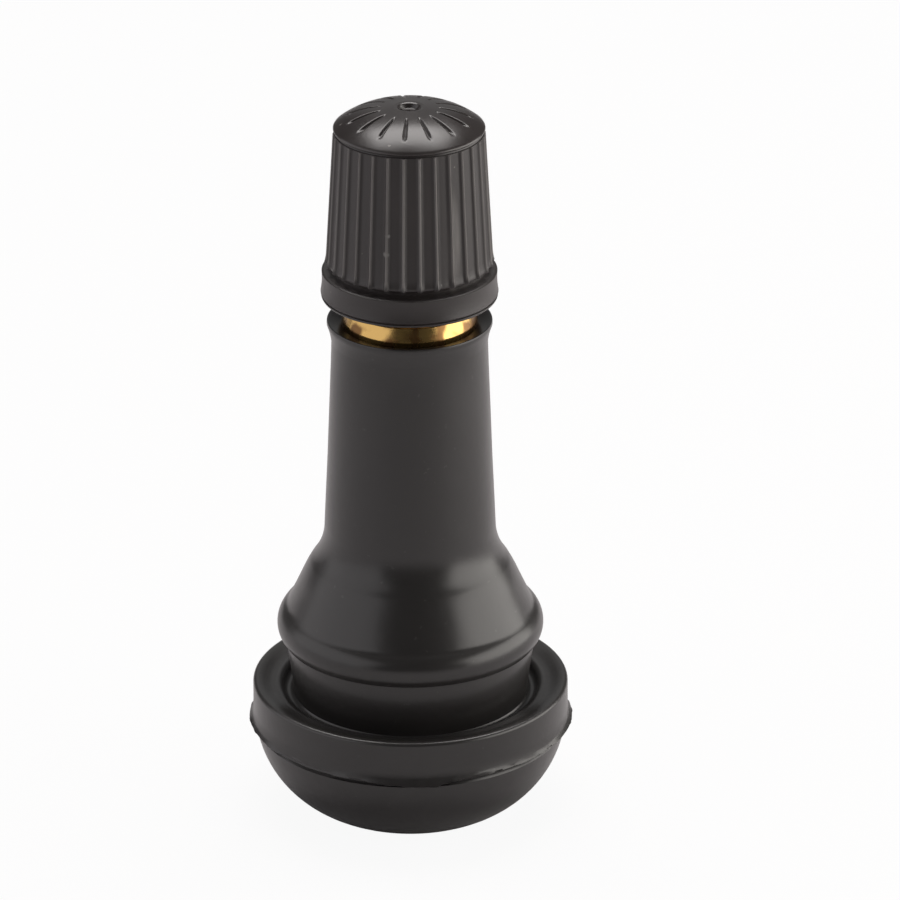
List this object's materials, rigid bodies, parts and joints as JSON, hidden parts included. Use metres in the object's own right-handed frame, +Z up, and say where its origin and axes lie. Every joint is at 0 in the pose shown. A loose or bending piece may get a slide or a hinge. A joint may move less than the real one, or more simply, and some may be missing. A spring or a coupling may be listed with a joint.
{
  "type": "tyre valve",
  "caption": "Snap-in rubber tyre valve with a brass stem, a sprung valve core and a fluted screw-on dust cap; it seals a wheel's rim hole and lets air in.",
  "frame": {"origin": "middle of the flat foot under the rubber base, at the foot's level", "axes": "+Z up the stem towards the cap; X and Y are equal across the round body"},
  "size_m": [0.0198, 0.0198, 0.0449],
  "materials": {
    "body_rubber": "satin moulded",
    "stem_brass": "turned",
    "cap_plastic": "satin moulded",
    "seal_rubber": "matt",
    "core_brass": "turned",
    "spring_steel": "drawn wire"
  },
  "bodies": {
    "valve": {"rubber_body": "body_rubber", "brass_stem": "stem_brass", "core_plug": "core_brass", "core_barrel": "core_brass", "barrel_seal": "seal_rubber", "core_spring": "spring_steel"},
    "pin": {"valve_pin": "core_brass", "spring_seat": "core_brass", "core_cup": "core_brass", "cup_seal": "seal_rubber"},
    "cap_ring": {"cap_seal": "seal_rubber"},
    "cap": {"cap_shell": "cap_plastic"}
  },
  "joints": [
    {"name": "pin_press", "type": "slide", "parent": "valve", "child": "pin", "axis": [0, 0, -1], "range_m": [0, 0.0012], "stiffness_N_per_m": 800, "springref_m": -0.0015, "deforming": ["core_spring"]},
    {"name": "cap_lift", "type": "slide", "parent": "valve", "child": "cap_ring", "axis": [0, 0, 1], "range_m": [0, 0.01035]},
    {"name": "cap_turn", "type": "hinge", "parent": "cap_ring", "child": "cap", "pos_m": [0, 0, 0.043], "axis": [0, 0, 1], "range_deg": [0, 4700]}
  ],
  "couplings": [
    {"joint": "cap_turn", "follows": "cap_lift", "rad_per_m": 7915.8}
  ]
}
